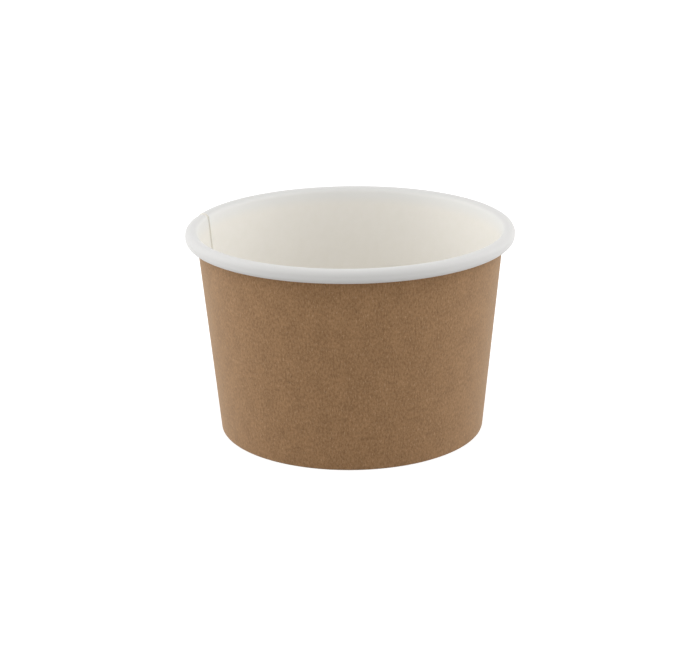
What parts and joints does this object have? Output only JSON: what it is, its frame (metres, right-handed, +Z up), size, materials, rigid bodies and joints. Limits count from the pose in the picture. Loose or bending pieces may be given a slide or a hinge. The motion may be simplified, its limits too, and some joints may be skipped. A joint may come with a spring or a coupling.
{
  "type": "paper ice cream tub",
  "caption": "Round paper tub with a rolled rim and a lapped side seam, brown outside and white inside, with a recessed bottom held in its folded base edge.",
  "frame": {"origin": "centre of the ring that the tub stands on", "axes": "+Z up along the tub's axis; +X and +Y lie on the table, with -Y toward the viewer"},
  "size_m": [0.075, 0.075, 0.0478],
  "materials": {
    "wall_board": "matte",
    "bottom_board": "satin"
  },
  "bodies": {
    "root": {"side_wall": "wall_board", "bottom_disc": "bottom_board"}
  },
  "joints": []
}
